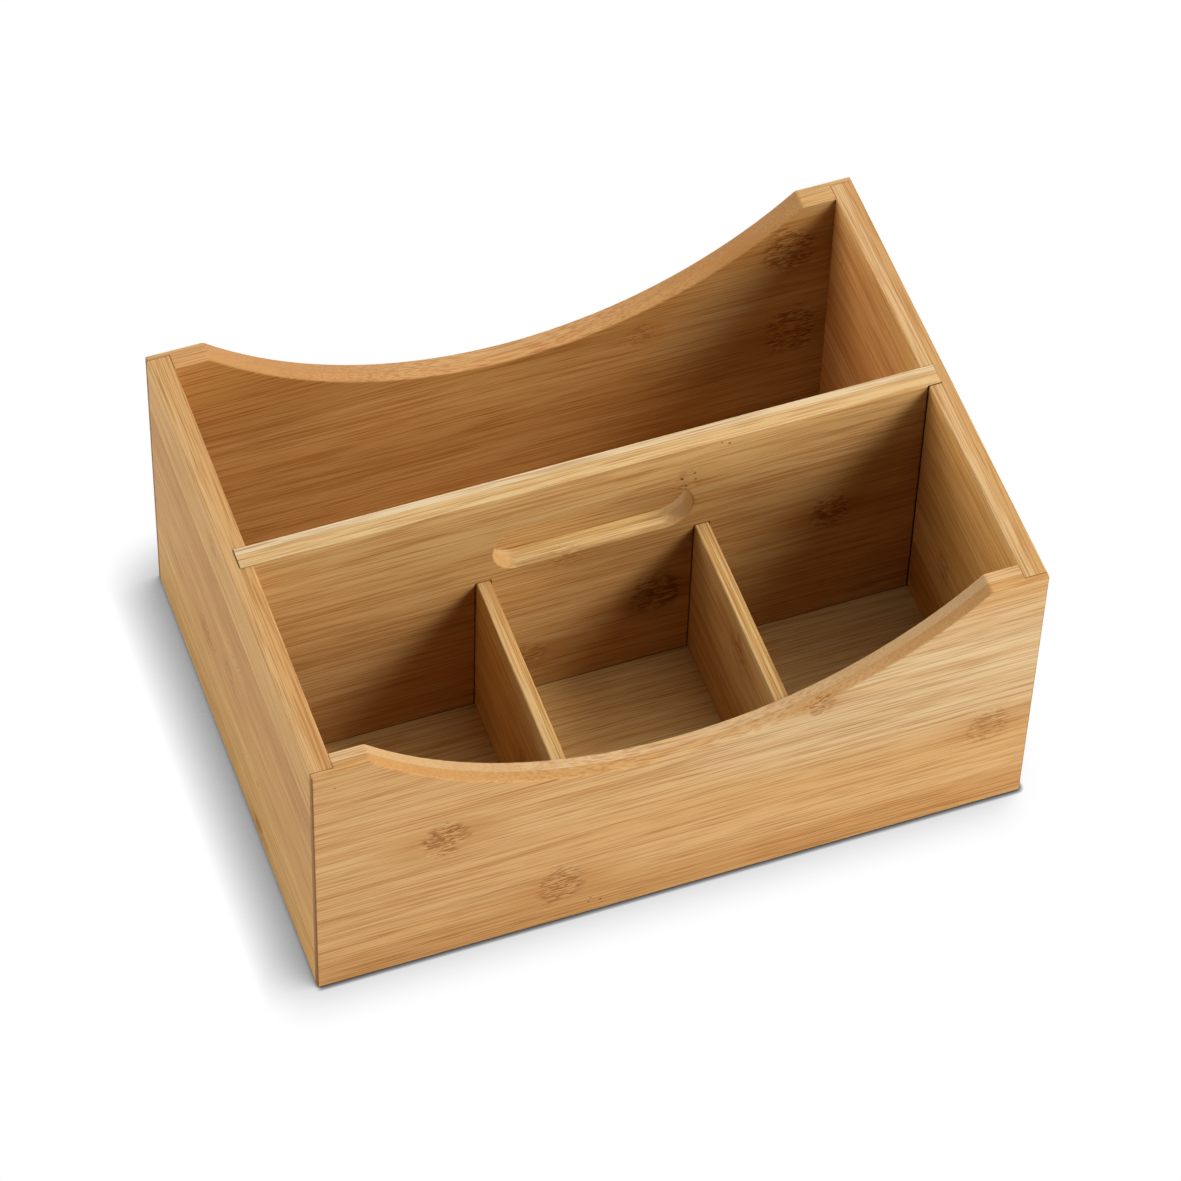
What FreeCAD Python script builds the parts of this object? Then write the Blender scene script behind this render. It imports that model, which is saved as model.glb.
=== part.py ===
"""Bamboo organizer box: eight glued boards, with a hand slot through the middle one as its handle.

Origin at the middle of the underside, +X to the right, +Y to the back, +Z up, in millimetres.
Each upright board is drawn on its worked face, the one with its grooves, at its real height above
the table. The board lies behind that face, and is then turned and moved to its place in the box.
"""
import FreeCAD
import Part
import Sketcher

import math
import os

SIZES = [
    ("box_width", 250, "outside, left to right"),
    ("box_depth", 180, "outside, front to back"),
    ("box_height", 120, "top of the walls above the table"),
    ("wall", 8, "thickness of the front, back and side boards"),
    ("lip", 2, "what a rabbet leaves of the front and back boards at their ends"),
    ("rim_flat", 20, "level stretch at each end of a dipped rim"),
    ("front_dip", 43.5, "lowest point of the front rim below the wall tops"),
    ("back_dip", 41.5, "lowest point of the back rim below the wall tops"),
    ("rim_corner", 2, "radius where a rim's level stretch turns into its arc"),
    ("arris", 0.6, "radius of the eased edges"),
    ("base_thickness", 5, "thickness of the base board"),
    ("base_raise", 5, "underside of the base board above the table"),
    ("groove_depth", 4, "depth of the groove for the base board"),
    ("base_play", 0.4, "room for the base board to swell at each edge"),
    ("joint_gap", 0.2, "glue line between a board and the groove or rabbet that holds it"),
    ("divider_thickness", 8, "thickness of the handle divider"),
    ("divider_rise", 0.5, "how far the handle divider stands above the walls"),
    ("divider_housing", 4.5, "depth of the side boards' housings for the handle divider"),
    ("slot_length", 70, "hand slot, end to end"),
    ("slot_height", 20, "hand slot, bottom to top"),
    ("grip_height", 19.5, "wood left above the hand slot"),
    ("small_thickness", 5, "thickness of the small dividers"),
    ("small_drop", 4, "tops of the small dividers below the front rim where they meet it"),
    ("small_spacing", 77, "small dividers, middle to middle"),
    ("small_housing", 3, "depth of the stopped housings for the small dividers"),
]

# Places and sizes that follow from the sheet
INNER_WIDTH = "(sizes.box_width - 2 * sizes.wall)"
INNER_DEPTH = "(sizes.box_depth - 2 * sizes.wall)"
SIDE_LENGTH = "(sizes.box_depth - 2 * (sizes.lip + sizes.joint_gap))"
RABBET_DEPTH = "(sizes.wall - sizes.lip)"
BASE_TOP = "(sizes.base_raise + sizes.base_thickness)"
BASE_REACH = "(sizes.groove_depth - sizes.base_play)"
DIVIDER_FOOT = f"({BASE_TOP} + sizes.joint_gap)"
DIVIDER_TOP = "(sizes.box_height + sizes.divider_rise)"
DIVIDER_LENGTH = f"({INNER_WIDTH} + 2 * (sizes.divider_housing - sizes.joint_gap))"
DIVIDER_FIT = "(sizes.divider_thickness + 2 * sizes.joint_gap)"
SLOT_MIDDLE = f"({DIVIDER_TOP} - sizes.grip_height - sizes.slot_height / 2)"
SLOT_END = "(sizes.slot_length / 2 - sizes.slot_height / 2)"
FRONT_BAY = f"(({INNER_DEPTH} - sizes.divider_thickness) / 2)"
HALF_CHORD = "(sizes.box_width / 2 - sizes.rim_flat)"
FRONT_ARC = f"(({HALF_CHORD} ^ 2 + sizes.front_dip ^ 2) / (2 * sizes.front_dip))"
SMALL_RIM = f"({FRONT_ARC} - sqrt({FRONT_ARC} ^ 2 - (sizes.small_spacing / 2) ^ 2))"
SMALL_TOP = f"(sizes.box_height - sizes.front_dip + {SMALL_RIM} - sizes.small_drop)"
SMALL_LENGTH = f"({FRONT_BAY} + 2 * (sizes.small_housing - sizes.joint_gap))"
SMALL_FIT = "(sizes.small_thickness + 2 * sizes.joint_gap)"

# Points of a sketch's lines and arcs, and the sketch's own level axis and origin
START, END, CENTRE = 1, 2, 3
LEVEL_AXIS = -1
ORIGIN = (LEVEL_AXIS, START)
NEAR = 1e-4

doc = FreeCAD.newDocument("organizer_box")
sheet = doc.addObject("Spreadsheet::Sheet", "sizes")
for row, (alias, value, meaning) in enumerate(SIZES, start=1):
    sheet.set(f"A{row}", alias)
    sheet.set(f"B{row}", str(value))
    sheet.set(f"C{row}", meaning)
    sheet.setAlias(f"B{row}", alias)
doc.recompute()


def measure(expression):
    """Return what an expression of the size sheet comes to, in millimetres."""
    return float(sheet.evalExpression(expression))


def point(x, y):
    return FreeCAD.Vector(x, y, 0)


def origin_plane(body, role):
    return next(plane for plane in body.Origin.OriginFeatures if plane.Role == role)


def new_sketch(body, name, role="XZ_Plane"):
    sketch = body.newObject("Sketcher::SketchObject", f"{body.Name}_{name}")
    sketch.AttachmentSupport = [(origin_plane(body, role), "")]
    sketch.MapMode = "FlatFace"
    return sketch


def tie(sketch, kind, *parts):
    """Add a geometric constraint."""
    sketch.addConstraint(Sketcher.Constraint(kind, *parts))


def size(sketch, kind, *parts, to):
    """Add a dimension and bind it to an expression of the size sheet."""
    index = sketch.addConstraint(Sketcher.Constraint(kind, *parts, measure(to)))
    sketch.setExpression(f"Constraints[{index}]", to)


def draw_lines(sketch, corners):
    """Draw joined straight lines through the corners, each level or upright, and return them."""
    lines = []
    for a, b in zip(corners, corners[1:]):
        line = sketch.addGeometry(Part.LineSegment(a, b))
        level = abs(a.y - b.y) < abs(a.x - b.x)
        tie(sketch, "Horizontal" if level else "Vertical", line)
        if lines:
            tie(sketch, "Coincident", lines[-1], END, line, START)
        lines.append(line)
    return lines


def draw_arc(sketch, x, y, radius, first, last):
    circle = Part.Circle(point(x, y), FreeCAD.Vector(0, 0, 1), radius)
    return sketch.addGeometry(Part.ArcOfCircle(circle, first, last))


def draw_rectangle(sketch, left, low, right, high):
    """Draw a rectangle whose four sides stand where the expressions say."""
    x0, y0, x1, y1 = (measure(side) for side in (left, low, right, high))
    corners = [point(x0, y0), point(x1, y0), point(x1, y1), point(x0, y1), point(x0, y0)]
    lines = draw_lines(sketch, corners)
    tie(sketch, "Coincident", lines[-1], END, lines[0], START)
    size(sketch, "DistanceX", *ORIGIN, lines[0], START, to=left)
    size(sketch, "DistanceY", *ORIGIN, lines[0], START, to=low)
    size(sketch, "DistanceX", *ORIGIN, lines[1], END, to=right)
    size(sketch, "DistanceY", *ORIGIN, lines[1], END, to=high)


def draw_centred_rectangle(sketch, length, low, high):
    draw_rectangle(sketch, f"-{length} / 2", low, f"{length} / 2", high)


def draw_dipped_rim(sketch, dip):
    """Draw a wall whose top edge runs level, dips in one arc and runs level again."""
    half, height = measure("sizes.box_width / 2"), measure("sizes.box_height")
    chord, sag = half - measure("sizes.rim_flat"), measure(dip)
    radius = (chord ** 2 + sag ** 2) / (2 * sag)
    swing = math.asin(chord / radius)
    corners = [(-chord, height), (-half, height), (-half, 0), (half, 0), (half, height), (chord, height)]
    left_flat, left, bottom, right, right_flat = draw_lines(sketch, [point(*corner) for corner in corners])
    arc = draw_arc(sketch, 0, height - sag + radius, radius, -math.pi / 2 - swing, -math.pi / 2 + swing)
    tie(sketch, "Coincident", arc, START, left_flat, START)
    tie(sketch, "Coincident", arc, END, right_flat, END)
    tie(sketch, "PointOnObject", bottom, START, LEVEL_AXIS)
    tie(sketch, "Equal", left, right)
    tie(sketch, "Equal", left_flat, right_flat)
    size(sketch, "DistanceX", *ORIGIN, bottom, START, to="-sizes.box_width / 2")
    size(sketch, "DistanceX", *ORIGIN, bottom, END, to="sizes.box_width / 2")
    size(sketch, "DistanceY", right, START, right, END, to="sizes.box_height")
    size(sketch, "DistanceX", right_flat, END, right_flat, START, to="sizes.rim_flat")
    size(sketch, "Radius", arc, to=f"({HALF_CHORD} ^ 2 + {dip} ^ 2) / (2 * {dip})")


def draw_hand_slot(sketch):
    """Draw the round-ended slot, level and centred across the divider."""
    reach, middle, radius = (measure(e) for e in (SLOT_END, SLOT_MIDDLE, "sizes.slot_height / 2"))
    top, = draw_lines(sketch, [point(reach, middle + radius), point(-reach, middle + radius)])
    bottom, = draw_lines(sketch, [point(-reach, middle - radius), point(reach, middle - radius)])
    left = draw_arc(sketch, -reach, middle, radius, math.pi / 2, 3 * math.pi / 2)
    right = draw_arc(sketch, reach, middle, radius, -math.pi / 2, math.pi / 2)
    for before, after in ((top, left), (left, bottom), (bottom, right), (right, top)):
        tie(sketch, "Tangent", before, END, after, START)
    size(sketch, "Radius", right, to="sizes.slot_height / 2")
    size(sketch, "DistanceX", *ORIGIN, right, CENTRE, to=SLOT_END)
    size(sketch, "DistanceX", *ORIGIN, left, CENTRE, to=f"-{SLOT_END}")
    size(sketch, "DistanceY", *ORIGIN, right, CENTRE, to=SLOT_MIDDLE)


def new_board(name):
    body = doc.addObject("PartDesign::Body", name)
    body.Label = name
    return body


def pad(body, sketch, thickness):
    """Give a drawn outline its thickness, behind the worked face."""
    board = body.newObject("PartDesign::Pad", f"{body.Name}_board")
    board.Profile = sketch
    board.setExpression("Length", thickness)
    doc.recompute()


def cut(body, sketch, name, depth):
    """Cut a drawn shape into the worked face."""
    volume = body.Shape.Volume
    pocket = body.newObject("PartDesign::Pocket", f"{body.Name}_{name}")
    pocket.Profile = sketch
    pocket.Reversed = True
    pocket.setExpression("Length", depth)
    doc.recompute()
    if body.Shape.Volume > volume - NEAR:
        raise RuntimeError(f"{pocket.Name} cuts nothing")


def round_edges(body, name, radius, chosen):
    """Round every edge of a board that the test picks."""
    base = body.Tip
    names = [f"Edge{number}" for number, edge in enumerate(base.Shape.Edges, start=1) if chosen(edge)]
    fillet = body.newObject("PartDesign::Fillet", f"{body.Name}_{name}")
    fillet.Base = (base, names)
    fillet.setExpression("Radius", radius)
    doc.recompute()


def at(value, *others):
    return all(abs(value - other) < NEAR for other in others)


def in_worked_face(edge):
    return at(0, edge.BoundBox.YMin, edge.BoundBox.YMax)


def is_upright(edge):
    return edge.BoundBox.XLength < NEAR and edge.BoundBox.YLength < NEAR


def runs_through(edge):
    """Tell whether an edge crosses the board's thickness."""
    return edge.BoundBox.XLength < NEAR and edge.BoundBox.ZLength < NEAR


def is_top(edge, height):
    return at(measure(height), edge.BoundBox.ZMin, edge.BoundBox.ZMax)


def set_in_place(body, turn, x="0", y="0"):
    """Turn a board about the vertical axis and move it to its place."""
    body.Placement = FreeCAD.Placement(FreeCAD.Vector(), FreeCAD.Rotation(FreeCAD.Vector(0, 0, 1), turn))
    body.setExpression("Placement.Base.x", x)
    body.setExpression("Placement.Base.y", y)
    doc.recompute()


def cut_base_groove(body, length):
    sketch = new_sketch(body, "groove_outline")
    draw_centred_rectangle(sketch, length, "sizes.base_raise", f"{BASE_TOP} + sizes.joint_gap")
    cut(body, sketch, "base_groove", "sizes.groove_depth")


def cut_small_housings(body):
    """Cut the housings for the small dividers: open below, and stopped square just above their tops."""
    sketch = new_sketch(body, "small_housing_outlines")
    for middle in ("-sizes.small_spacing / 2", "sizes.small_spacing / 2"):
        left, right = f"{middle} - {SMALL_FIT} / 2", f"{middle} + {SMALL_FIT} / 2"
        draw_rectangle(sketch, left, BASE_TOP, right, f"{SMALL_TOP} + sizes.joint_gap")
    cut(body, sketch, "small_housings", "sizes.small_housing")


def dipped_panel(name, dip):
    """Front or back wall: dipped rim, rabbeted ends, and the groove for the base board."""
    body = new_board(name)
    outline = new_sketch(body, "outline")
    draw_dipped_rim(outline, dip)
    pad(body, outline, "sizes.wall")
    ends = measure("sizes.box_width / 2")
    height = measure("sizes.box_height")

    def at_rim_corner(edge):
        inside = abs(edge.BoundBox.XMax) < ends - NEAR
        return inside and runs_through(edge) and at(edge.BoundBox.ZMax, height)

    def in_sight(edge):
        if in_worked_face(edge):
            return not is_upright(edge) and edge.BoundBox.ZMax > NEAR
        return not runs_through(edge) or at(abs(edge.BoundBox.XMax), ends)

    round_edges(body, "rim_corners", "sizes.rim_corner", at_rim_corner)
    round_edges(body, "arrises", "sizes.arris", in_sight)
    rabbets = new_sketch(body, "rabbet_outlines")
    draw_rectangle(rabbets, "-sizes.box_width / 2", "0", f"-{INNER_WIDTH} / 2", "sizes.box_height")
    draw_rectangle(rabbets, f"{INNER_WIDTH} / 2", "0", "sizes.box_width / 2", "sizes.box_height")
    cut(body, rabbets, "rabbets", RABBET_DEPTH)
    cut_base_groove(body, INNER_WIDTH)
    return body


def side_panel(name):
    """Side wall: straight top, the groove for the base board and a housing for the handle divider."""
    body = new_board(name)
    outline = new_sketch(body, "outline")
    draw_centred_rectangle(outline, SIDE_LENGTH, "0", "sizes.box_height")
    pad(body, outline, "sizes.wall")

    def in_sight(edge):
        lengthwise = not is_upright(edge) and not runs_through(edge)
        return lengthwise and (is_top(edge, "sizes.box_height") or not in_worked_face(edge))

    round_edges(body, "arrises", "sizes.arris", in_sight)
    cut_base_groove(body, SIDE_LENGTH)
    housing = new_sketch(body, "divider_housing_outline")
    draw_centred_rectangle(housing, DIVIDER_FIT, BASE_TOP, "sizes.box_height")
    cut(body, housing, "divider_housing", "sizes.divider_housing")
    return body


def base_panel(name):
    """Base board, with its four edges in the walls' grooves."""
    body = new_board(name)
    outline = new_sketch(body, "outline", "XY_Plane")
    length, depth = (f"({inner} / 2 + {BASE_REACH})" for inner in (INNER_WIDTH, INNER_DEPTH))
    draw_rectangle(outline, f"-{length}", f"-{depth}", length, depth)
    pad(body, outline, "sizes.base_thickness")
    body.setExpression("Placement.Base.z", "sizes.base_raise")
    doc.recompute()
    return body


def handle_divider(name):
    """Middle board: the hand slot through it, and housings for the small dividers in its front."""
    body = new_board(name)
    outline = new_sketch(body, "outline")
    draw_centred_rectangle(outline, DIVIDER_LENGTH, DIVIDER_FOOT, DIVIDER_TOP)
    pad(body, outline, "sizes.divider_thickness")
    slot = new_sketch(body, "slot_outline")
    draw_hand_slot(slot)
    cut(body, slot, "hand_slot", "sizes.divider_thickness")
    reach = measure("sizes.slot_length / 2")

    def in_sight(edge):
        if is_upright(edge) or runs_through(edge):
            return False
        return is_top(edge, DIVIDER_TOP) or max(-edge.BoundBox.XMin, edge.BoundBox.XMax) < reach + NEAR

    round_edges(body, "arrises", "sizes.arris", in_sight)
    cut_small_housings(body)
    return body


def small_divider(name):
    """Thin board between the handle divider and the front wall."""
    body = new_board(name)
    outline = new_sketch(body, "outline")
    draw_centred_rectangle(outline, SMALL_LENGTH, DIVIDER_FOOT, SMALL_TOP)
    pad(body, outline, "sizes.small_thickness")

    def in_sight(edge):
        return is_top(edge, SMALL_TOP) and not runs_through(edge)

    round_edges(body, "arrises", "sizes.arris", in_sight)
    return body


front = dipped_panel("front_panel", "sizes.front_dip")
cut_small_housings(front)
set_in_place(front, 0, y=f"-{INNER_DEPTH} / 2")

back = dipped_panel("back_panel", "sizes.back_dip")
set_in_place(back, 180, y=f"{INNER_DEPTH} / 2")

left_side = side_panel("left_side")
set_in_place(left_side, -90, x=f"-{INNER_WIDTH} / 2")

right_side = side_panel("right_side")
set_in_place(right_side, 90, x=f"{INNER_WIDTH} / 2")

base = base_panel("base_panel")

divider = handle_divider("handle_divider")
set_in_place(divider, 180, y="-sizes.divider_thickness / 2")

small_dividers = []
for name, sign in (("small_divider_left", "-"), ("small_divider_right", "")):
    small = small_divider(name)
    middle = f"-(sizes.divider_thickness + {FRONT_BAY}) / 2"
    set_in_place(small, -90, x=f"{sign}sizes.small_spacing / 2 + sizes.small_thickness / 2", y=middle)
    small_dividers.append(small)

for item in doc.Objects:
    if {"Invalid", "Error"} & set(item.State):
        raise RuntimeError(f"{item.Name} failed: {item.State}")
    if item.isDerivedFrom("Sketcher::SketchObject") and not item.FullyConstrained:
        raise RuntimeError(f"{item.Name} is not fully constrained")

boards = [front, back, left_side, right_side, base, divider, *small_dividers]
for board in boards:
    if board.Shape.isNull() or not board.Shape.isValid() or len(board.Shape.Solids) != 1:
        raise RuntimeError(f"{board.Label} is not one sound solid")

os.makedirs("parts", exist_ok=True)
for board in boards:
    board.Shape.exportStep(f"parts/{board.Label}.step")
    box = board.Shape.BoundBox
    print(f"{board.Label}: {board.Shape.Volume / 1000:.1f} cm3, {box.XMin:.2f} to {box.XMax:.2f},"
          f" {box.YMin:.2f} to {box.YMax:.2f}, {box.ZMin:.2f} to {box.ZMax:.2f}")
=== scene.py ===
"""Looks of the bamboo organizer box: laminated boards with straight grain, in soft studio light.

Sizes are in millimetres, as on the boards, and become metres where Blender needs them.
"""
import math
from collections import namedtuple

import bpy
from mathutils import Euler, Matrix, Vector


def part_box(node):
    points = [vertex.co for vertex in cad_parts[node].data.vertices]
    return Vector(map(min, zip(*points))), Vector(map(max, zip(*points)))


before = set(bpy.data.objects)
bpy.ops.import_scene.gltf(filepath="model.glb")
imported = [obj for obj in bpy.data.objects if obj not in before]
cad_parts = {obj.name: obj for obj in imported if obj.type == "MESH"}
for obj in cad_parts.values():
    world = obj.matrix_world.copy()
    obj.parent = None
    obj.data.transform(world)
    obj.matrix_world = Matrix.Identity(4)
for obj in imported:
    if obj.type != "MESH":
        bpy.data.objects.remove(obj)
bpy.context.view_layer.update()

MM = 0.001

# Camera, as the photograph was taken
CAMERA_AIM = Vector((10.0, 22.8, 18.6))
CAMERA_DISTANCE = 1947.7
CAMERA_AZIMUTH = math.radians(-21.17)
CAMERA_ELEVATION = math.radians(53.15)
CAMERA_ROLL = math.radians(2.10)
LENS = 172.8
SENSOR = 36.0

# Soft boxes round the box: direction from +X towards +Y and height above the floor in degrees, size, power in
# watts. The key comes from the right, and low fills light the outside but hardly reach into the compartments.
SoftBox = namedtuple("SoftBox", "name azimuth elevation width height power")
SOFT_BOXES = [
    SoftBox("key", 332, 42, 750, 750, 33.0),
    SoftBox("front_fill", 302, 14, 1500, 750, 15.0),
    SoftBox("left_fill", 160, 22, 1500, 900, 22.0),
    SoftBox("back_fill", 75, 14, 1500, 750, 22.1),
    SoftBox("top_fill", 30, 80, 1000, 1000, 13.0),
]
LIGHT_AIM = Vector((0, 0, 60))
LIGHT_DISTANCE = 1800

# White paper under the box and behind it. The box's shadow on it has a reach and a side that most of the
# light comes from, and so has the dark line right under the boards, which also has a depth.
WHITE = "#ffffff"
PAPER = "#e8e8e8"
PAPER_SIZE = 8000
SHADOW_REACH = 19.0
SHADOW_SIDE = (0.70, -0.30, 0.65)
CONTACT_REACH = 1.8
CONTACT_SIDE = (-0.60, 0.60, 0.50)
CONTACT_DEPTH = 2.4

# Boards: the turn lays the grain along X, the board's thickness along Y and its width along Z.
# Seams are the glue lines between plies, as shares of the thickness. The plies take the two woods in turn.
# A wood has one tone on its face, another on the edges that look up and a third where an edge cuts across the
# fibres. The tone that looks up is partly the ply's own edge colour and partly painted light and shade, set
# apart from the face's tone to make up for how differently light falls on surfaces that look up. Strips tell
# how brown each strip of a ply is, from its lower edge up, and start over after the last.
# Joints name the boards along which a line of painted shade shows on this one, standing in for the shade in
# the gap between the boards.
LONG_BOARD = Euler((0, 0, 0))
CROSS_BOARD = Euler((0, 0, math.radians(90)))
FLAT_BOARD = Euler((math.radians(-90), 0, 0))
Wood = namedtuple("Wood", "face edge cut", defaults=("#b08652",))
Board = namedtuple("Board", "node turn seams woods strips knuckles pores blushes joints",
                   defaults=((), (), ()))

# A knuckle is where the cane had a joint: its place, its size and how strongly it shows.
# Pores are rows of open fibre ends: their place and how far they reach along the grain and across it.
# A tint-and-light patch lays another tone over part of a board. Most are strips of another tone; those marked
# below are painted light or painted shade. Each has its place, its reach along the grain and across it, the
# tone, and its reach into the board.
Knuckle = namedtuple("Knuckle", "place size strength")
Pores = namedtuple("Pores", "place length width")
Blush = namedtuple("Blush", "place length width tone depth", defaults=(6.0,))
BOARDS = [
    Board(
        "front_panel", LONG_BOARD, seams=(0.5,),
        woods=(Wood("#cfa872", "#bf9965", "#ab7c46"), Wood("#b0976f", "#c7aa81", "#b18e62")),
        strips=(0.5, 0.25, 0.3, 0.2, 0.15, 0.25, 0.3),
        knuckles=[Knuckle((-81, -90, 66), 1.0, 0.9), Knuckle((-41, -90, 21), 1.0, 0.85),
                  Knuckle((109, -90, 45), 0.9, 0.6), Knuckle((48, -90, 83), 0.6, 0.7)],
        pores=[Pores((-27, -90, 6), 6, 3), Pores((-119, -90, 112), 3, 2)],
        blushes=[Blush((95, -90, 80), 130, 44, "#cfb489")]),
    Board(
        "back_panel", LONG_BOARD, seams=(0.5,),
        woods=(Wood("#d0a264", "#c8a070", "#a77844"), Wood("#bf9661", "#c6a477", "#a57544")),
        strips=(0.3, 0.2, 0.4, 0.2, 0.5, 0.6, 0.5),
        knuckles=[Knuckle((101, 82, 99), 1.15, 1.0), Knuckle((104, 82, 55), 1.25, 1.0),
                  Knuckle((48, 82, 74), 0.6, 0.5), Knuckle((-70, 90, 40), 1.0, 0.8),
                  Knuckle((30, 90, 62), 0.9, 0.7)],
        # In the list below, the first patch is painted shade: a greyer, duller tone on the right of the inner
        # face, where it lies in deep shade.
        blushes=[Blush((112, 82, 62), 70, 80, "#c4a773", 1.0), Blush((120, 84, 120), 28, 9, "#c6a676"),
                 Blush((120, 88, 120), 28, 9, "#c6a87c")]),
    Board(
        "left_side", CROSS_BOARD, seams=(0.44,),
        woods=(Wood("#c9a05d", "#bc9867"), Wood("#c09a64", "#b9925f")),
        strips=(0.0, 0.1, 0.3, 0.4, 0.7, 0.2, 0.0),
        knuckles=[Knuckle((-117, 40, 60), 0.9, 0.7), Knuckle((-125, 15, 109), 0.5, 0.5),
                  Knuckle((-125, 29, 44), 0.8, 0.45), Knuckle((-125, 2, 56), 0.8, 0.4),
                  Knuckle((-125, -27, 6), 0.5, 0.9)],
        pores=[Pores((-125, 27, 48), 14, 1.6), Pores((-125, -9, 73), 16, 1.6),
               Pores((-125, -22, 32), 12, 1.6)]),
    Board(
        "right_side", CROSS_BOARD, seams=(0.53,),
        woods=(Wood("#e5ba75", "#bd9c6e"), Wood("#c39863", "#b48e5c")),
        strips=(0.3, 0.5, 0.2, 0.7, 0.5, 0.25, 0.1),
        knuckles=[Knuckle((125, 10, 70), 1.0, 0.8), Knuckle((125, -55, 30), 0.9, 0.7),
                  Knuckle((117, -30, 52), 0.7, 0.5)],
        pores=[Pores((117, 74, 96), 2, 2)],
        blushes=[Blush((117, 45, 62), 66, 92, "#e0ab6d", 1.0)]),
    Board(
        "base_panel", FLAT_BOARD, seams=(),
        woods=(Wood("#cfaf77", "#cfaf77"),),
        strips=(0.3, 0.5, 0.2, 0.45),
        knuckles=[Knuckle((-70, 30, 10), 1.0, 0.7), Knuckle((60, 50, 10), 1.0, 0.7)],
        # Painted light and shade on the next line: the first patch pales the rear compartment's floor,
        # standing in for the light seen on it through the handle slot; the second darkens the floor of the
        # right front compartment, where the right side casts its shadow.
        blushes=[Blush((30, 58, 10), 160, 50, "#ebc585"), Blush((88, -45, 10), 60, 60, "#b89c6c")]),
    Board(
        "handle_divider", LONG_BOARD, seams=(0.62,),
        woods=(Wood("#d2ad75", "#c2a778", "#b68b53"), Wood("#b59c74", "#c5b18f", "#be9664")),
        strips=(0.3, 0.45, 0.3, 0.5, 0.5, 0.3, 0.05),
        knuckles=[Knuckle((85, -4, 66), 0.9, 1.0), Knuckle((23, -4, 46), 1.1, 1.0),
                  Knuckle((-22, -4, 29), 0.8, 0.6), Knuckle((-9, -4, 81), 0.7, 0.45),
                  Knuckle((33, -4, 104), 0.6, 0.4), Knuckle((-60, 4, 50), 1.0, 0.8)],
        pores=[Pores((33, -4, 104), 4, 6), Pores((47, -4, 118), 5, 2)],
        blushes=[Blush((28, -4, 84), 60, 28, "#bd9863", 1.0), Blush((23, -4, 46), 18, 18, "#b8945f", 1.0),
                 # The first patch on the next line is painted light: a paler ledge in the handle slot, where
                 # the bar above keeps much of the light off.
                 Blush((0, -0.5, 81), 52, 14, "#e0c896", 3.0), Blush((0, 4, 88), 70, 24, "#d3b377")],
        joints=("small_divider_left", "small_divider_right", "right_side", "base_panel")),
    Board(
        "small_divider_left", CROSS_BOARD, seams=(0.6,),
        woods=(Wood("#ead09a", "#d0b787"), Wood("#c6a878", "#c6a46e")),
        strips=(0.3, 0.5, 0.4),
        knuckles=[Knuckle((-41, -55, 40), 0.8, 0.7)]),
    Board(
        "small_divider_right", CROSS_BOARD, seams=(0.25, 0.5, 0.75),
        woods=(Wood("#d5b57e", "#c9b17d"), Wood("#c09f6e", "#bc9763")),
        strips=(0.4, 0.3, 0.5),
        knuckles=[Knuckle((36, -48, 64), 0.9, 0.8)]),
]

# Ranges below are inputs of Map Range nodes: a pattern shows nothing at From Min and fully at From Max.

# How far a surface looks up to count as an edge, and along the grain to count as cut across the fibres
EDGE_TILT = {"From Min": 0.3, "From Max": 0.7}
CUT_TILT = {"From Min": 0.05, "From Max": 0.5}
# A tint-and-light patch fades out from its middle, in shares of its reach
TINT_AND_LIGHT_FADE = {"From Min": 1.0, "From Max": 0.4}

# Strips: their width, where the lowest edge lies, how far the next ply's strips are set off in shares of the
# width, and how far at most a strip's fibres are shifted along the grain and through the board
STRIP_WIDTH = 20.0
STRIP_EDGE = 15.0
STRIP_OFFSET = 0.4
STRIP_SHIFT = (400.0, 90.0, 0.0)
STRIP_STAIN = "#d9c096"
SEAM_WIDTH = 0.2
SEAM_STAIN = "#e8dac8"
# Spreads the plies apart, so that a knuckle or a row of pores stays in its own ply
PLY_APART = 50.0

# Fibre layers, the finest first: length along the grain, width across it, where the noise starts and ends to
# stain, how much at most, and the stain. Real fibres are about 0.2 mm wide, too fine to show, so the finest
# layer is drawn at 0.6 mm.
Fibres = namedtuple("Fibres", "length width start end amount stain")
FIBRES = [
    Fibres(35, 0.6, 0.44, 0.66, 0.80, "#dcc7b0"),
    Fibres(120, 1.2, 0.54, 0.66, 0.14, "#e3d0ba"),
    Fibres(200, 2.4, 0.50, 0.70, 0.15, "#ecdccc"),
    Fibres(300, 6.0, 0.36, 0.66, 0.38, "#f3e0c7"),
    Fibres(250, 0.9, 0.66, 0.74, 0.44, "#dfc6b0"),
]
BUNDLE_LENGTH = 22.0
BUNDLE_SPACING = 0.95
BUNDLE_RANGE = {"From Min": 0.36, "From Max": 0.16, "To Max": 0.8}
BUNDLE_STAIN = "#e6d9c8"

# Edges that cut across the fibres are sanded smooth: how much of the grain goes, the pale specks in patches
# of a ragged noise, and the stain on the board's own ends, which soak up more of the lacquer
SANDED = 0.75
RAGGED_SIZE = (8.33, 2.0, 2.86)
PATCH_RANGE = {"From Min": 0.42, "From Max": 0.60}
SPECK_SPACING = 1.0
SPECK_RANGE = {"From Min": 0.45, "From Max": 0.15}
SPECK_GLINT = "#4c3f30"
END_DEPTH = 1.0
END_STAIN = "#b08f50"

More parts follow.
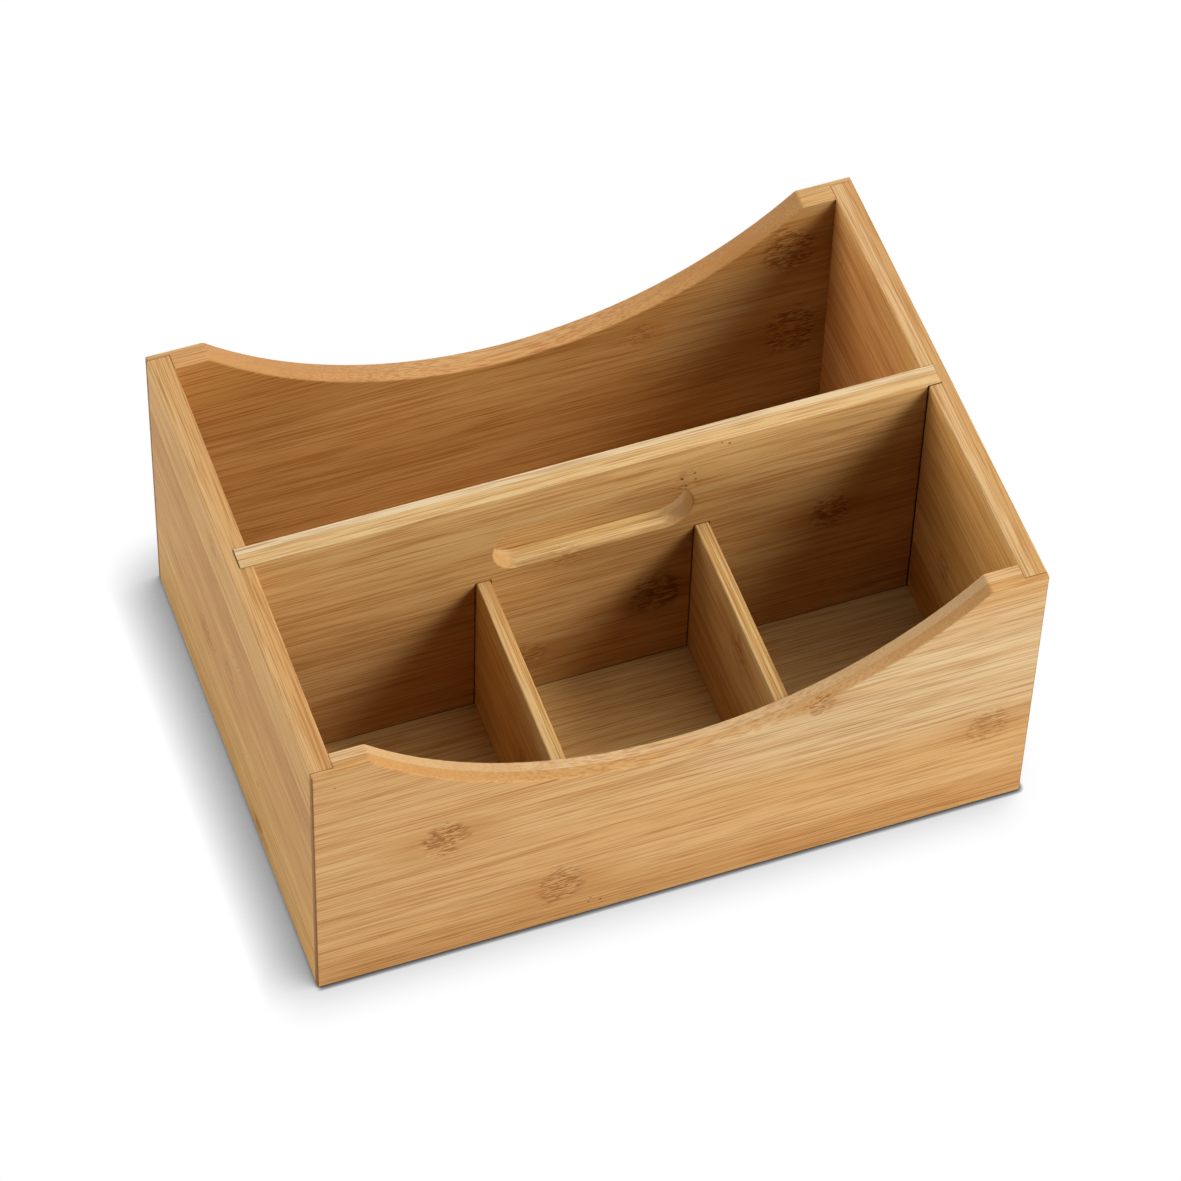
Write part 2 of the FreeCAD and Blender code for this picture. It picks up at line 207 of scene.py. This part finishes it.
# A knuckle has a core with dark dashes and painted highlights between them, pale marks that stand in for the
# light on the raised fibres, and a halo of streaks that is longer by the stretch. Noise frays the outlines of
# both.
KNUCKLE_LENGTH = 9.5
KNUCKLE_WIDTH = 12.0
KNUCKLE_DEPTH = 6.0
KNUCKLE_FRAY = 0.9
CORE_FADE = {"From Min": 1.45, "From Max": 1.1}
HALO_FADE = {"From Min": 1.5, "From Max": 0.6}
HALO_STRETCH = 3.2
HALO_STAIN = "#ecdac2"
DASH_LENGTH = 3.8
DASH_WIDTH = 0.72
DASH_RANGE = {"From Min": 0.48, "From Max": 0.57}
DASH_STAIN = "#c6b08a"
PAINTED_HIGHLIGHT_RANGE = {"From Min": 0.47, "From Max": 0.39}
KNUCKLE_PAINTED_HIGHLIGHT = "#5c4c32"

PORE_LENGTH = 2.2
PORE_SPACING = 1.5
PORE_DEPTH = 1.0
PORE_RANGE = {"From Min": 0.30, "From Max": 0.18}
PORE_FADE = {"From Min": 1.0, "From Max": 0.7}
PORE_STAIN = "#8a6a55"
# Painted shade along the joints with other boards: its width and its colour
JOINT_WIDTH = 0.65
JOINT_PAINTED_SHADE = "#5a4636"

# Satin lacquer: its roughness, which follows the finest fibres, its shine, and the relief of the wood
LACQUER_ROUGHNESS = {"To Min": 0.42, "To Max": 0.56}
LACQUER_SHINE = 0.1
RELIEF_DEPTH = 0.2
RELIEF_STRENGTH = 0.3
DASH_RELIEF = -6.0

# Sockets of a Mix node that mixes colours
AMOUNT = 0
UNDER = 6
OVER = 7
MIXED = 2


def linear(hex_colour):
    """Turn an sRGB hex colour into the linear RGBA that a socket takes."""
    channels = [int(hex_colour[i:i + 2], 16) / 255 for i in (1, 3, 5)]
    return [c / 12.92 if c <= 0.04045 else ((c + 0.055) / 1.055) ** 2.4 for c in channels] + [1.0]


def add(tree, kind, inputs, **settings):
    """Add a node with its settings, and fill or link its inputs. Return the node."""
    node = tree.nodes.new(f"ShaderNode{kind}")
    for name, value in settings.items():
        setattr(node, name, value)
    for name, value in inputs.items():
        if isinstance(value, bpy.types.Node):
            value = value.outputs[0]
        if isinstance(value, bpy.types.NodeSocket):
            tree.links.new(value, node.inputs[name])
        else:
            node.inputs[name].default_value = value
    return node


def new_material(name):
    """Make a material with no nodes in it. Return it and its node tree."""
    material = bpy.data.materials.new(name)
    material.use_nodes = True
    material.node_tree.nodes.clear()
    return material, material.node_tree


def laminated_bamboo(board, number):
    """Sanded strips of bamboo glued side by side in plies, under satin lacquer.

    The eye sees straight hair-fine fibres, strips that differ a little in tone, knuckles where the cane had a
    joint, specks of fibre bundles where an edge cuts across them, thin dark lines between plies, and painted
    shade in thin dark lines along joints.
    """
    material, tree = new_material(f"laminated_bamboo_{board.node}")
    turn = board.turn.to_matrix()
    low, high = (turn @ (corner / MM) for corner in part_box(board.node))
    bottom, top = sorted((low.y, high.y))
    seams = [bottom + (top - bottom) * share for share in board.seams]

    coordinates = add(tree, "TexCoord", {})
    grain = add(tree, "Mapping", {"Vector": coordinates.outputs["Object"], "Rotation": board.turn,
                                  "Scale": (1 / MM, 1 / MM, 1 / MM)})
    along = add(tree, "SeparateXYZ", {"Vector": grain})
    surface = add(tree, "NewGeometry", {})
    facing = add(tree, "SeparateXYZ", {"Vector": surface.outputs["True Normal"]})
    edge = add(tree, "MapRange", {"Value": facing.outputs["Z"], **EDGE_TILT})
    upright = add(tree, "Math", {0: 1.0, 1: edge}, operation="SUBTRACT")
    fibre_way = turn.transposed() @ Vector((1, 0, 0))
    cut = add(tree, "VectorMath", {0: surface.outputs["True Normal"], 1: fibre_way}, operation="DOT_PRODUCT")
    cut = add(tree, "Math", {0: cut.outputs["Value"]}, operation="ABSOLUTE")
    cut = add(tree, "MapRange", {"Value": cut, "To Max": SANDED, **CUT_TILT})

    # Plies: a number for each, the glue lines between them, and which wood they take
    ply = float(number)
    glue = 0.0
    turns = 0.0
    for seam in seams:
        above = add(tree, "Math", {0: along.outputs["Y"], 1: seam}, operation="GREATER_THAN")
        near = add(tree, "Math", {0: along.outputs["Y"], 1: seam, 2: SEAM_WIDTH / 2}, operation="COMPARE")
        ply = add(tree, "Math", {0: ply, 1: above}, operation="ADD")
        glue = add(tree, "Math", {0: glue, 1: near}, operation="MAXIMUM")
        turns = add(tree, "Math", {0: above, 1: turns}, operation="SUBTRACT")
    spread = add(tree, "Math", {0: ply, 1: PLY_APART}, operation="MULTIPLY")
    spread = add(tree, "CombineXYZ", {"Y": spread})
    parted = add(tree, "VectorMath", {0: grain, 1: spread}, operation="ADD")

    def away(place, size):
        """Tell how far a point of the same ply lies from a mark, in shares of the mark's size."""
        centre = turn @ Vector(place)
        centre.y += PLY_APART * (number + sum(centre.y > seam for seam in seams))
        apart = add(tree, "VectorMath", {0: parted, 1: centre}, operation="SUBTRACT")
        apart = add(tree, "VectorMath", {0: apart, 1: size}, operation="DIVIDE")
        return add(tree, "VectorMath", {0: apart}, operation="LENGTH").outputs["Value"]

    def drawn(start, length, width):
        """Stretch coordinates so that a pattern's marks get this length along the grain and width across."""
        return add(tree, "VectorMath", {0: start, 1: (length, width, width)}, operation="DIVIDE")

    tones = []
    for under, over in zip(board.woods[0], board.woods[-1]):
        tone = add(tree, "Mix", {AMOUNT: turns, UNDER: linear(under), OVER: linear(over)}, data_type="RGBA")
        tones.append(tone.outputs[MIXED])
    face, rim, ends = tones
    # Surfaces that look up take the edge tone, partly the ply's own colour and partly painted light and shade
    wood = add(tree, "Mix", {AMOUNT: edge, UNDER: face, OVER: rim}, data_type="RGBA")

    # Coats that go over the plain wood in turn: how much of each, its colour and how it blends
    coats = []
    # Patches of another tone, some of them painted light and painted shade
    for tint_and_light in board.blushes:
        near = add(tree, "MapRange", {"Value": away(tint_and_light.place, (tint_and_light.length, tint_and_light.depth, tint_and_light.width)),
                                      **TINT_AND_LIGHT_FADE}, interpolation_type="SMOOTHSTEP")
        coats.append((near, linear(tint_and_light.tone), "MIX"))

    # Strips: each is a piece of another cane, so its fibres are shifted and its shade is its own
    place = add(tree, "Math", {0: along.outputs["Z"], 1: STRIP_WIDTH - STRIP_EDGE}, operation="ADD")
    place = add(tree, "Math", {0: place, 1: STRIP_WIDTH}, operation="DIVIDE")
    place = add(tree, "Math", {0: turns, 1: STRIP_OFFSET, 2: place}, operation="MULTIPLY_ADD")
    strip = add(tree, "Math", {0: place}, operation="FLOOR")
    strip = add(tree, "CombineXYZ", {"X": strip, "Y": ply})
    chance = add(tree, "TexWhiteNoise", {"Vector": strip}, noise_dimensions="2D")
    shift = add(tree, "VectorMath", {0: chance.outputs["Color"], 1: STRIP_SHIFT}, operation="MULTIPLY")
    cane = add(tree, "VectorMath", {0: grain, 1: shift}, operation="ADD")
    place = add(tree, "Math", {0: place, 1: len(board.strips)}, operation="DIVIDE")
    place = add(tree, "Math", {0: place}, operation="FRACT")
    shade = add(tree, "ValToRGB", {"Fac": place})
    shade.color_ramp.interpolation = "CONSTANT"
    stops = shade.color_ramp.elements
    stops.remove(stops[1])
    for step, brown in enumerate(board.strips):
        stop = stops.new(step / len(board.strips)) if step else stops[0]
        stop.color = (brown, brown, brown, 1.0)
    coats.append((shade, linear(STRIP_STAIN), "MULTIPLY"))

    # Fibres, from hair-fine lines to broad bands, and the bundles that they run in
    noises = []
    for fibres in FIBRES:
        noise = add(tree, "TexNoise", {"Vector": drawn(cane, fibres.length, fibres.width), "Scale": 1.0,
                                       "Detail": 1.0})
        noises.append(noise)
        amount = add(tree, "MapRange", {"Value": noise, "From Min": fibres.start, "From Max": fibres.end,
                                        "To Max": fibres.amount}, interpolation_type="SMOOTHSTEP")
        coats.append((amount, linear(fibres.stain), "MULTIPLY"))
    fine = noises[0]
    bundle = add(tree, "TexVoronoi", {"Vector": drawn(cane, BUNDLE_LENGTH, BUNDLE_SPACING), "Scale": 1.0})
    bundle = add(tree, "MapRange", {"Value": bundle, **BUNDLE_RANGE}, interpolation_type="SMOOTHSTEP")
    coats.append((bundle, linear(BUNDLE_STAIN), "MULTIPLY"))
    coats.append((glue, linear(SEAM_STAIN), "MULTIPLY"))

    # Cut edges: the grain fades under the sandpaper, and pale ends of fibres stand in it in patches
    ragged = add(tree, "VectorMath", {0: grain, 1: RAGGED_SIZE}, operation="DIVIDE")
    ragged = add(tree, "TexNoise", {"Vector": ragged, "Scale": 1.0, "Detail": 2.0})
    patches = add(tree, "MapRange", {"Value": ragged, **PATCH_RANGE})
    specks = add(tree, "TexVoronoi", {"Vector": drawn(cane, SPECK_SPACING, SPECK_SPACING), "Scale": 1.0})
    specks = add(tree, "MapRange", {"Value": specks, **SPECK_RANGE})
    specks = add(tree, "Math", {0: specks, 1: cut}, operation="MULTIPLY")
    specks = add(tree, "Math", {0: specks, 1: patches}, operation="MULTIPLY")
    coats.append((cut, ends, "MIX"))
    coats.append((specks, linear(SPECK_GLINT), "SCREEN"))
    reach = add(tree, "Math", {0: along.outputs["X"]}, operation="ABSOLUTE")
    tip = add(tree, "Math", {0: reach, 1: max(low.x, high.x) - END_DEPTH}, operation="GREATER_THAN")
    thirsty = add(tree, "Math", {0: cut, 1: upright}, operation="MULTIPLY")
    thirsty = add(tree, "Math", {0: thirsty, 1: tip}, operation="MULTIPLY")
    coats.append((thirsty, linear(END_STAIN), "MULTIPLY"))

    # Knuckles: streaks that run out along the grain, short wavy dashes in the middle, and painted highlights
    # between the dashes
    core = 0.0
    halo = 0.0
    for knuckle in board.knuckles:
        size = knuckle.size * Vector((KNUCKLE_LENGTH, KNUCKLE_DEPTH, KNUCKLE_WIDTH))
        near = add(tree, "Math", {0: ragged, 1: KNUCKLE_FRAY, 2: away(knuckle.place, size)},
                   operation="MULTIPLY_ADD")
        near = add(tree, "MapRange", {"Value": near, "To Max": knuckle.strength, **CORE_FADE},
                   interpolation_type="SMOOTHSTEP")
        core = add(tree, "Math", {0: core, 1: near}, operation="MAXIMUM")
        size = size * Vector((HALO_STRETCH, 1, 1))
        far = add(tree, "Math", {0: fine, 1: KNUCKLE_FRAY, 2: away(knuckle.place, size)},
                  operation="MULTIPLY_ADD")
        far = add(tree, "MapRange", {"Value": far, "To Max": knuckle.strength, **HALO_FADE},
                  interpolation_type="SMOOTHSTEP")
        halo = add(tree, "Math", {0: halo, 1: far}, operation="MAXIMUM")
    wavy = add(tree, "TexNoise", {"Vector": drawn(cane, DASH_LENGTH, DASH_WIDTH), "Scale": 1.0, "Detail": 1.0,
                                  "Distortion": 1.0})
    dashes = add(tree, "MapRange", {"Value": wavy, **DASH_RANGE}, interpolation_type="SMOOTHSTEP")
    dashes = add(tree, "Math", {0: dashes, 1: core}, operation="MULTIPLY")
    # Painted highlights: pale marks between the dashes that stand in for light on the raised fibres
    painted_highlights = add(tree, "MapRange", {"Value": wavy, **PAINTED_HIGHLIGHT_RANGE}, interpolation_type="SMOOTHSTEP")
    painted_highlights = add(tree, "Math", {0: painted_highlights, 1: core}, operation="MULTIPLY")
    coats.append((halo, linear(HALO_STAIN), "MULTIPLY"))
    coats.append((dashes, linear(DASH_STAIN), "MULTIPLY"))
    coats.append((painted_highlights, linear(KNUCKLE_PAINTED_HIGHLIGHT), "SCREEN"))

    # Pores: dark dots in short rows
    dots = add(tree, "TexVoronoi", {"Vector": drawn(parted, PORE_LENGTH, PORE_SPACING), "Scale": 1.0})
    dots = add(tree, "MapRange", {"Value": dots, **PORE_RANGE}, interpolation_type="SMOOTHSTEP")
    for pores in board.pores:
        near = add(tree, "MapRange", {"Value": away(pores.place, (pores.length, PORE_DEPTH, pores.width)),
                                      **PORE_FADE})
        near = add(tree, "Math", {0: dots, 1: near}, operation="MULTIPLY")
        coats.append((near, linear(PORE_STAIN), "MULTIPLY"))

    # Painted shade: dark lines along the joints with other boards, standing in for the shade in the gaps, on
    # upright faces alone
    for neighbour in board.joints:
        corners = [turn @ (corner / MM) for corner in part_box(neighbour)]
        half = [abs(length) / 2 for length in corners[1] - corners[0]]
        apart = add(tree, "VectorMath", {0: grain, 1: (corners[0] + corners[1]) / 2}, operation="SUBTRACT")
        apart = add(tree, "VectorMath", {0: apart}, operation="ABSOLUTE")
        apart = add(tree, "VectorMath", {0: apart, 1: half}, operation="SUBTRACT")
        apart = add(tree, "VectorMath", {0: apart, 1: (0.0, 0.0, 0.0)}, operation="MAXIMUM")
        apart = add(tree, "VectorMath", {0: apart}, operation="LENGTH")
        near = add(tree, "MapRange", {"Value": apart.outputs["Value"], "From Min": JOINT_WIDTH,
                                      "From Max": JOINT_WIDTH / 2, "To Max": upright})
        coats.append((near, linear(JOINT_PAINTED_SHADE), "MULTIPLY"))

    for amount, tone, blend in coats:
        wood = add(tree, "Mix", {AMOUNT: amount, UNDER: wood.outputs[MIXED], OVER: tone}, data_type="RGBA",
                   blend_type=blend)

    rough = add(tree, "MapRange", {"Value": fine, **LACQUER_ROUGHNESS})
    relief = add(tree, "Math", {0: wavy, 1: core}, operation="MULTIPLY")
    relief = add(tree, "Math", {0: relief, 1: DASH_RELIEF, 2: fine}, operation="MULTIPLY_ADD")
    bump = add(tree, "Bump", {"Strength": RELIEF_STRENGTH, "Distance": RELIEF_DEPTH * MM, "Height": relief})
    shader = add(tree, "BsdfPrincipled", {"Base Color": wood.outputs[MIXED], "Roughness": rough,
                                          "Specular IOR Level": LACQUER_SHINE, "Normal": bump})
    add(tree, "OutputMaterial", {"Surface": shader})
    return material


def seen(tree):
    """Tell the rays that show a surface, straight, mirrored or through glass, from those that carry light."""
    sight = add(tree, "LightPath", {})
    either = add(tree, "Math", {0: sight.outputs["Is Camera Ray"], 1: sight.outputs["Is Glossy Ray"]},
                 operation="MAXIMUM")
    return add(tree, "Math", {0: either, 1: sight.outputs["Is Transmission Ray"]}, operation="MAXIMUM")


def white_floor():
    """Matt white paper, seen as white as the backdrop, with a soft grey shadow round the box."""
    material, tree = new_material("white_paper")
    side = add(tree, "CombineXYZ", dict(zip("XYZ", SHADOW_SIDE)))
    open_sky = add(tree, "AmbientOcclusion", {"Distance": SHADOW_REACH * MM, "Normal": side})
    side = add(tree, "CombineXYZ", dict(zip("XYZ", CONTACT_SIDE)))
    contact = add(tree, "AmbientOcclusion", {"Distance": CONTACT_REACH * MM, "Normal": side})
    contact = add(tree, "Math", {0: contact.outputs["AO"], 1: CONTACT_DEPTH}, operation="POWER")
    shade = add(tree, "Math", {0: open_sky.outputs["AO"], 1: contact}, operation="MULTIPLY")
    glow = add(tree, "Emission", {"Color": linear(WHITE), "Strength": shade})
    paper = add(tree, "BsdfDiffuse", {"Color": linear(PAPER)})
    mixed = add(tree, "MixShader", {0: seen(tree), 1: paper, 2: glow})
    add(tree, "OutputMaterial", {"Surface": mixed})
    bpy.ops.mesh.primitive_plane_add(size=PAPER_SIZE * MM)
    floor = bpy.context.object
    floor.name = "floor"
    floor.data.materials.append(material)


def studio_light():
    """Soft boxes in front of a white backdrop."""
    world = bpy.data.worlds.new("white_backdrop")
    world.use_nodes = True
    tree = world.node_tree
    tree.nodes.clear()
    backdrop = add(tree, "Background", {"Color": linear(WHITE), "Strength": seen(tree)})
    add(tree, "OutputWorld", {"Surface": backdrop})
    bpy.context.scene.world = world

    for box in SOFT_BOXES:
        azimuth = math.radians(box.azimuth)
        elevation = math.radians(box.elevation)
        outward = Vector((math.cos(elevation) * math.cos(azimuth), math.cos(elevation) * math.sin(azimuth),
                          math.sin(elevation)))
        lamp = bpy.data.lights.new(box.name, "AREA")
        lamp.shape = "RECTANGLE"
        lamp.size = box.width * MM
        lamp.size_y = box.height * MM
        lamp.energy = box.power
        holder = bpy.data.objects.new(box.name, lamp)
        holder.location = (LIGHT_AIM + LIGHT_DISTANCE * outward) * MM
        holder.rotation_euler = (-outward).to_track_quat("-Z", "Y").to_euler()
        holder.visible_camera = False
        bpy.context.collection.objects.link(holder)


def photo_camera():
    """Look at the box from where the photograph was taken."""
    level = Vector((math.cos(CAMERA_AZIMUTH), math.sin(CAMERA_AZIMUTH), 0))
    back = Vector((math.sin(CAMERA_AZIMUTH) * math.cos(CAMERA_ELEVATION),
                   -math.cos(CAMERA_AZIMUTH) * math.cos(CAMERA_ELEVATION), math.sin(CAMERA_ELEVATION)))
    right = math.cos(CAMERA_ROLL) * level + math.sin(CAMERA_ROLL) * back.cross(level)
    upward = back.cross(right)
    lens = bpy.data.cameras.new("camera")
    lens.lens = LENS
    lens.sensor_width = SENSOR
    camera = bpy.data.objects.new("camera", lens)
    place = (CAMERA_AIM + CAMERA_DISTANCE * back) * MM
    camera.matrix_world = Matrix.Translation(place) @ Matrix((right, upward, back)).transposed().to_4x4()
    bpy.context.collection.objects.link(camera)
    bpy.context.scene.camera = camera


for number, board in enumerate(BOARDS):
    bamboo = laminated_bamboo(board, number)
    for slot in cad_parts[board.node].material_slots:
        slot.material = bamboo
white_floor()
studio_light()
photo_camera()
bpy.context.scene.view_settings.view_transform = "Standard"
